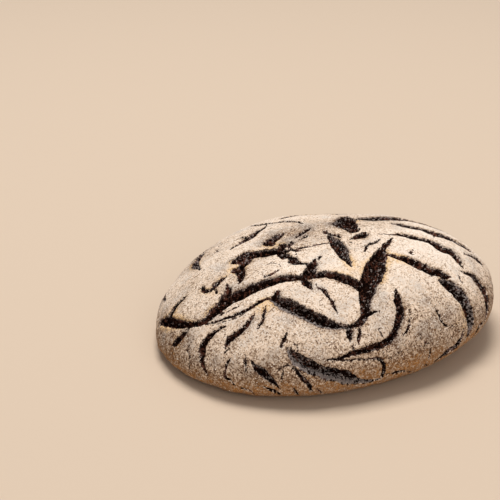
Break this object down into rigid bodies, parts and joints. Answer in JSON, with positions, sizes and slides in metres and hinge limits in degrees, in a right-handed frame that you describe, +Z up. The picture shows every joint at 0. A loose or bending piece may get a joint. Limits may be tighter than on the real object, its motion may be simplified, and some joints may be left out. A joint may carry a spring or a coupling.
{
  "type": "rye bread loaf",
  "caption": "Whole round dark rye loaf on a flat base, with a low oval dome and a pale floured crust torn open by long curved fissures.",
  "frame": {"origin": "middle of the flat base, under the crown of the dome", "axes": "+Z up through the crown, the widest line of the loaf climbs by 4.4 degrees towards +X and a little -Y"},
  "size_m": [0.242, 0.2316, 0.0743],
  "materials": {
    "floured_crust": "dry, dusty, fully matt",
    "torn_crumb": "rough, torn, nearly matt",
    "rye_flour": "loose powder, fully matt"
  },
  "bodies": {
    "root": {"loaf": "floured_crust"}
  },
  "joints": []
}
